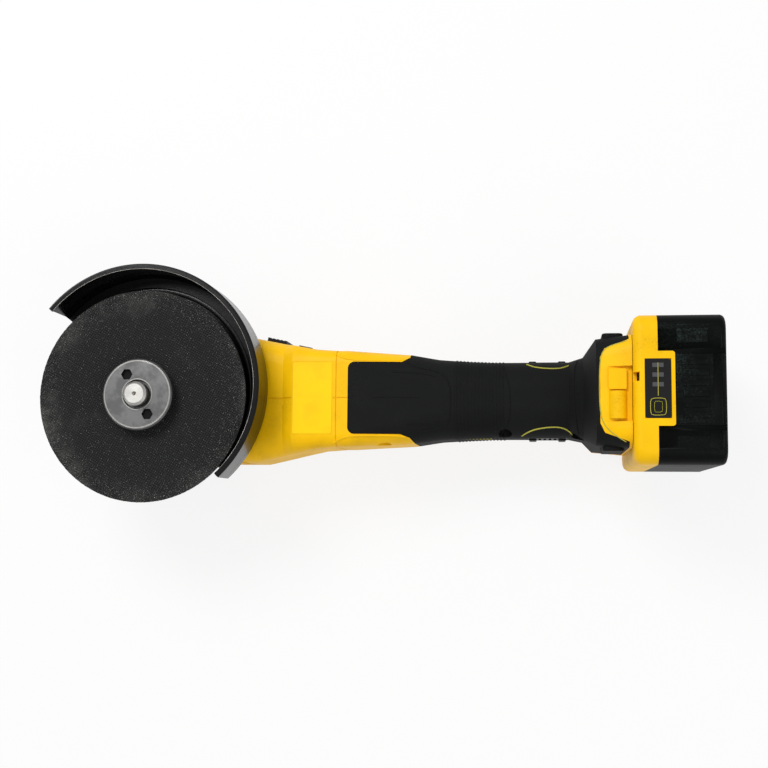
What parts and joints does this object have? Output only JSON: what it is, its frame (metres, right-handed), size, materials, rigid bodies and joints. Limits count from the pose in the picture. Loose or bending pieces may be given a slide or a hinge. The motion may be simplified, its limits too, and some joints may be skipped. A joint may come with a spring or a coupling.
{
  "type": "angle grinder",
  "caption": "Cordless angle grinder with a bonded disc, half guard, slide switch, soft grip and slide-on battery pack, lying on its back.",
  "frame": {"origin": "spindle axis at the flat top of the gear case, on which the tool rests", "axes": "+Z along the spindle towards the disc; +X along the motor towards the battery; +Y towards the slide switch"},
  "size_m": [0.3925, 0.1393, 0.118],
  "materials": {
    "yellow_shell": "satin moulded glass-filled nylon",
    "soft_cover": "matt soft overmould with fine ribs",
    "black_trim": "fine texture",
    "label_film": "bare printed film",
    "screw_steel": "blackened screws",
    "case_metal": "grey painted die casting",
    "cast_metal": "machined die casting",
    "bearing_steel": "ground",
    "seal_rubber": "matt",
    "spindle_steel": "turned",
    "gear_steel": "hardened and oiled",
    "spring_steel": "bare wire and ring",
    "nut_steel": "turned, zinc plated",
    "abrasive": "bonded grit with glass net",
    "guard_paint": "gloss black",
    "lamination": "stacked sheets",
    "magnet": "nickel plated",
    "copper_wire": "enamelled copper",
    "inner_plastic": "moulded",
    "potting": "potted",
    "contact_metal": "plated",
    "wire_jacket": "silicone",
    "pack_yellow": "satin moulded",
    "pack_black": "satin, dusty",
    "gauge_black": "smooth",
    "lamp_grey": "unlit lamp window",
    "button_black": "smooth with a plain cell mark",
    "cell_wrap": "shrink sleeve",
    "board": "solder mask"
  },
  "bodies": {
    "root": {"housing_left": "yellow_shell", "housing_right": "yellow_shell", "grip_cover_left": "soft_cover", "grip_cover_right": "soft_cover", "foot_bumpers": "soft_cover", "vent_covers": "black_trim", "rating_label": "label_film", "housing_screws": "screw_steel", "gear_case": "case_metal", "gear_case_screws": "screw_steel", "bearing_retainer": "cast_metal", "retainer_screws": "screw_steel", "needle_bush": "bearing_steel", "spindle_seal": "seal_rubber", "spindle_bearing_outer": "bearing_steel", "guard_lever_screw": "screw_steel", "lock_spring": "spring_steel", "front_bearing_outer": "bearing_steel", "bearing_circlip": "spring_steel", "rear_bearing_outer": "bearing_steel", "stator_core": "lamination", "stator_windings": "copper_wire", "fan_baffle": "inner_plastic", "switch_unit": "inner_plastic", "control_module": "potting", "terminal_block": "inner_plastic", "terminal_blades": "contact_metal", "internal_leads": "wire_jacket"},
    "spindle": {"spindle": "spindle_steel", "bevel_gear": "gear_steel", "gear_circlip": "spring_steel", "spindle_bearing_inner": "bearing_steel", "backing_flange": "nut_steel", "grinding_disc": "abrasive", "clamp_nut": "nut_steel"},
    "rotor": {"motor_shaft": "spindle_steel", "drive_pinion": "gear_steel", "front_bearing_inner": "bearing_steel", "rear_bearing_inner": "bearing_steel", "rotor_core": "lamination", "rotor_magnets": "magnet", "cooling_fan": "inner_plastic"},
    "guard": {"guard_shell": "guard_paint", "guard_collar": "guard_paint"},
    "guard_lever": {"guard_lever": "black_trim"},
    "spindle_lock": {"lock_button": "black_trim", "lock_pin": "spindle_steel"},
    "switch_slider": {"slide_button": "black_trim", "switch_rod": "inner_plastic"},
    "battery_pack": {"pack_upper_case": "pack_yellow", "pack_lower_case": "pack_black", "pack_screws": "screw_steel", "latch_spring": "spring_steel", "gauge_panel": "gauge_black", "gauge_lamps": "lamp_grey", "battery_cells": "cell_wrap", "cell_holders": "inner_plastic", "pack_electronics": "board"},
    "pack_latch": {"pack_latch": "pack_black"},
    "gauge_button": {"gauge_button": "button_black"}
  },
  "joints": [
    {"name": "spindle_spin", "type": "hinge", "parent": "root", "child": "spindle", "pos_m": [0, 0, 0], "axis": [0, 0, 1], "continuous": true},
    {"name": "motor_spin", "type": "hinge", "parent": "root", "child": "rotor", "pos_m": [0, 0, 0.038], "axis": [1, 0, 0], "continuous": true},
    {"name": "guard_turn", "type": "hinge", "parent": "root", "child": "guard", "pos_m": [0, 0, 0.07], "axis": [0, 0, 1], "range_deg": [-120, 60]},
    {"name": "guard_lever_press", "type": "hinge", "parent": "root", "child": "guard_lever", "pos_m": [-0.00521, -0.02954, 0.061], "axis": [0, 0, -1], "range_deg": [0, 12], "stiffness_Nm_per_rad": 0.2, "springref_deg": -11.46},
    {"name": "lock_press", "type": "slide", "parent": "root", "child": "spindle_lock", "axis": [0, 0, 1], "range_m": [0, 0.004], "stiffness_N_per_m": 300, "springref_m": -0.004, "deforming": ["lock_spring"]},
    {"name": "switch_slide", "type": "slide", "parent": "root", "child": "switch_slider", "axis": [-0.9785, 0.206, 0], "range_m": [0, 0.007]},
    {"name": "battery_slide", "type": "slide", "parent": "root", "child": "battery_pack", "axis": [0, 0, -1], "range_m": [0, 0.1]},
    {"name": "latch_press", "type": "slide", "parent": "battery_pack", "child": "pack_latch", "axis": [1, 0, 0], "range_m": [0, 0.004], "stiffness_N_per_m": 500, "springref_m": -0.004, "deforming": ["latch_spring"]},
    {"name": "gauge_press", "type": "slide", "parent": "battery_pack", "child": "gauge_button", "axis": [0, 0, -1], "range_m": [0, 0.0008], "stiffness_N_per_m": 400, "springref_m": -0.001}
  ],
  "couplings": [
    {"joint": "motor_spin", "follows": "spindle_spin", "ratio": -3.4167}
  ]
}
